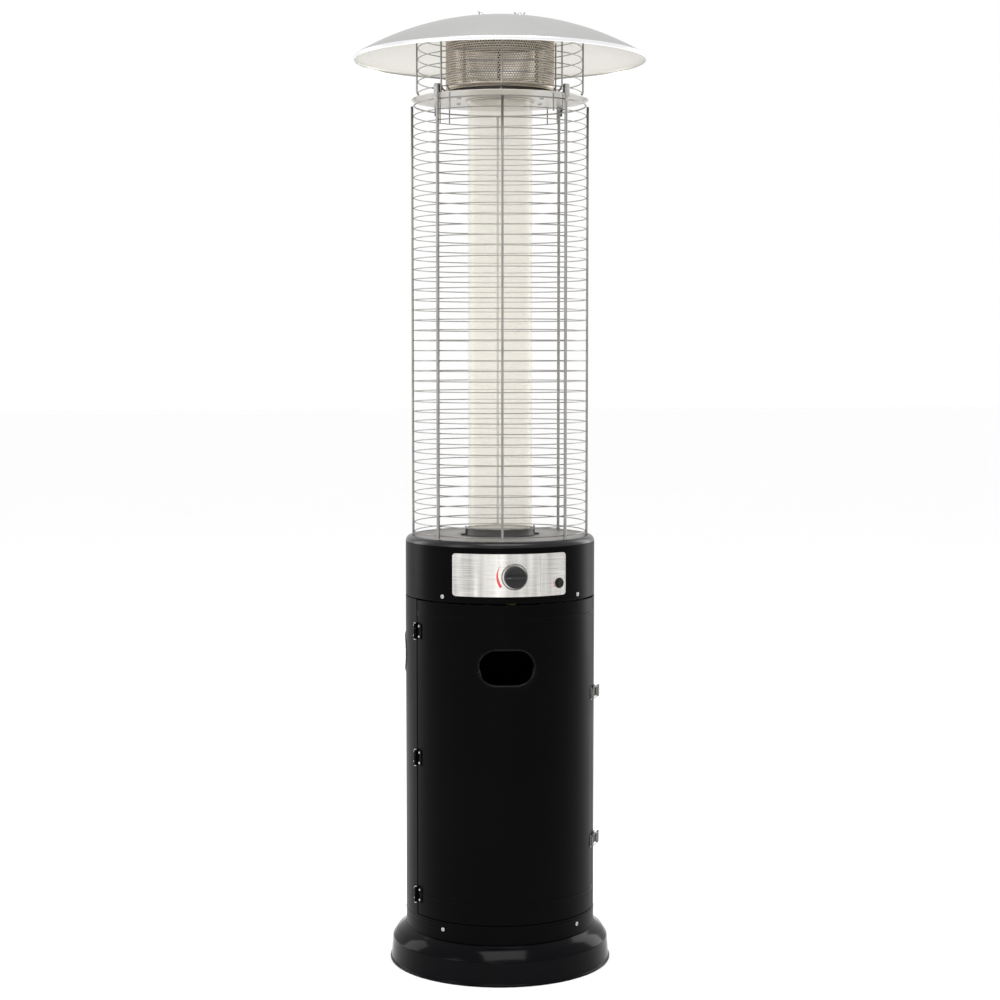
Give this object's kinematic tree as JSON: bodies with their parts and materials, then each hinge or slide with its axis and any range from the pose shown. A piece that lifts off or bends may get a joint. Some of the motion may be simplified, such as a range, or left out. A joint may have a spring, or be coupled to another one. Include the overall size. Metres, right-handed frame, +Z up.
{
  "type": "gas patio heater",
  "caption": "Free-standing gas patio heater: black bottle housing with a hinged door, control panel, glass flame tube in a wire guard, perforated emitter and dome hood.",
  "frame": {"origin": "on the floor at the heater's vertical axis", "axes": "+Z up, -Y towards the front with the control panel, +X to the viewer's right"},
  "size_m": [0.568, 0.568, 1.8526],
  "materials": {
    "black_coat": "black powder coat, semi-gloss",
    "gloss_black": "gloss black paint",
    "zinc": "bright zinc-plated steel",
    "dark_steel": "dark galvanised steel",
    "panel_steel": "brushed stainless steel",
    "knob_plastic": "dark grey moulded plastic",
    "black_plastic": "black moulded plastic",
    "brass": "turned brass",
    "pipe": "bent aluminium tube",
    "burner_steel": "heat-stained stainless steel",
    "deck_grey": "grey heat-resistant coat",
    "gasket": "ceramic fibre",
    "glass": "clear borosilicate glass",
    "wire": "bright plated wire",
    "disc_steel": "satin stainless steel",
    "emitter": "perforated stainless steel",
    "hood_alu": "satin spun aluminium"
  },
  "bodies": {
    "frame_body": {"base_cover": "gloss_black", "base_plate": "dark_steel", "lower_band": "black_coat", "rear_shell": "black_coat", "housing_screws": "zinc", "hinge_body_leaves": "black_coat", "pivot_pins": "zinc", "hinge_body_rivets": "zinc", "latch_bases": "zinc", "housing_floor": "dark_steel", "control_housing": "black_coat", "control_panel": "panel_steel", "knob_bezel": "wire", "gas_valve": "pipe", "gas_inlet": "brass", "gas_pipe": "pipe", "injector": "brass", "mixer_tube": "burner_steel", "burner_body": "burner_steel", "burner_mesh": "burner_steel", "pilot_burner": "burner_steel", "flame_sensor": "burner_steel", "igniter_bezel": "black_plastic", "igniter_body": "black_plastic", "tilt_switch": "black_plastic", "top_deck": "deck_grey", "tube_seat": "dark_steel", "tube_gasket": "gasket", "tube_clips": "dark_steel", "glass_tube": "glass", "support_posts": "wire", "guard_panel_1": "wire", "guard_panel_2": "wire", "guard_panel_3": "wire", "guard_panel_4": "wire", "post_brackets": "zinc", "head_disc": "disc_steel", "tube_collar": "disc_steel", "head_spacers": "zinc", "emitter_screen": "emitter", "emitter_plates": "disc_steel", "hood_studs": "zinc", "head_guard_1": "wire", "head_guard_2": "wire", "head_guard_3": "wire", "head_guard_4": "wire", "hood": "hood_alu", "wing_nuts": "zinc"},
    "door_body": {"door": "black_coat", "hinge_door_leaves": "black_coat", "hinge_door_rivets": "zinc", "latch_keepers": "zinc"},
    "lever_lower": {"latch_lever_lower": "zinc"},
    "lever_upper": {"latch_lever_upper": "zinc"},
    "bail_lower": {"latch_bail_lower": "zinc"},
    "bail_upper": {"latch_bail_upper": "zinc"},
    "knob_press": {"stem_collar": "brass"},
    "knob_body": {"knob": "knob_plastic", "valve_stem": "zinc"},
    "button_body": {"igniter_button": "black_plastic"}
  },
  "joints": [
    {"name": "door_swing", "type": "hinge", "parent": "frame_body", "child": "door_body", "pos_m": [-0.17589, -0.07106, 0.417], "axis": [0, 0, -1], "range_deg": [0, 110]},
    {"name": "knob_push", "type": "slide", "parent": "frame_body", "child": "knob_press", "axis": [0, 1, 0], "range_m": [0, 0.003], "stiffness_N_per_m": 900},
    {"name": "knob_turn", "type": "hinge", "parent": "knob_press", "child": "knob_body", "pos_m": [0, -0.2, 0.777], "axis": [0, -1, 0], "range_deg": [0, 180]},
    {"name": "igniter_push", "type": "slide", "parent": "frame_body", "child": "button_body", "axis": [-0.4772, 0.8788, 0], "range_m": [0, 0.005], "stiffness_N_per_m": 700},
    {"name": "lever_lower_swing", "type": "hinge", "parent": "frame_body", "child": "lever_lower", "pos_m": [0.1842, -0.04936, 0.242], "axis": [0, 0, -1], "range_deg": [0, 100]},
    {"name": "bail_lower_swing", "type": "hinge", "parent": "lever_lower", "child": "bail_lower", "pos_m": [0.18685, -0.04489, 0.242], "axis": [0, 0, 1], "range_deg": [0, 100]},
    {"name": "lever_upper_swing", "type": "hinge", "parent": "frame_body", "child": "lever_upper", "pos_m": [0.1842, -0.04936, 0.534], "axis": [0, 0, -1], "range_deg": [0, 100]},
    {"name": "bail_upper_swing", "type": "hinge", "parent": "lever_upper", "child": "bail_upper", "pos_m": [0.18685, -0.04489, 0.534], "axis": [0, 0, 1], "range_deg": [0, 100]}
  ],
  "couplings": [
    {"joint": "bail_lower_swing", "follows": "lever_lower_swing", "ratio": 1},
    {"joint": "bail_upper_swing", "follows": "lever_upper_swing", "ratio": 1}
  ]
}
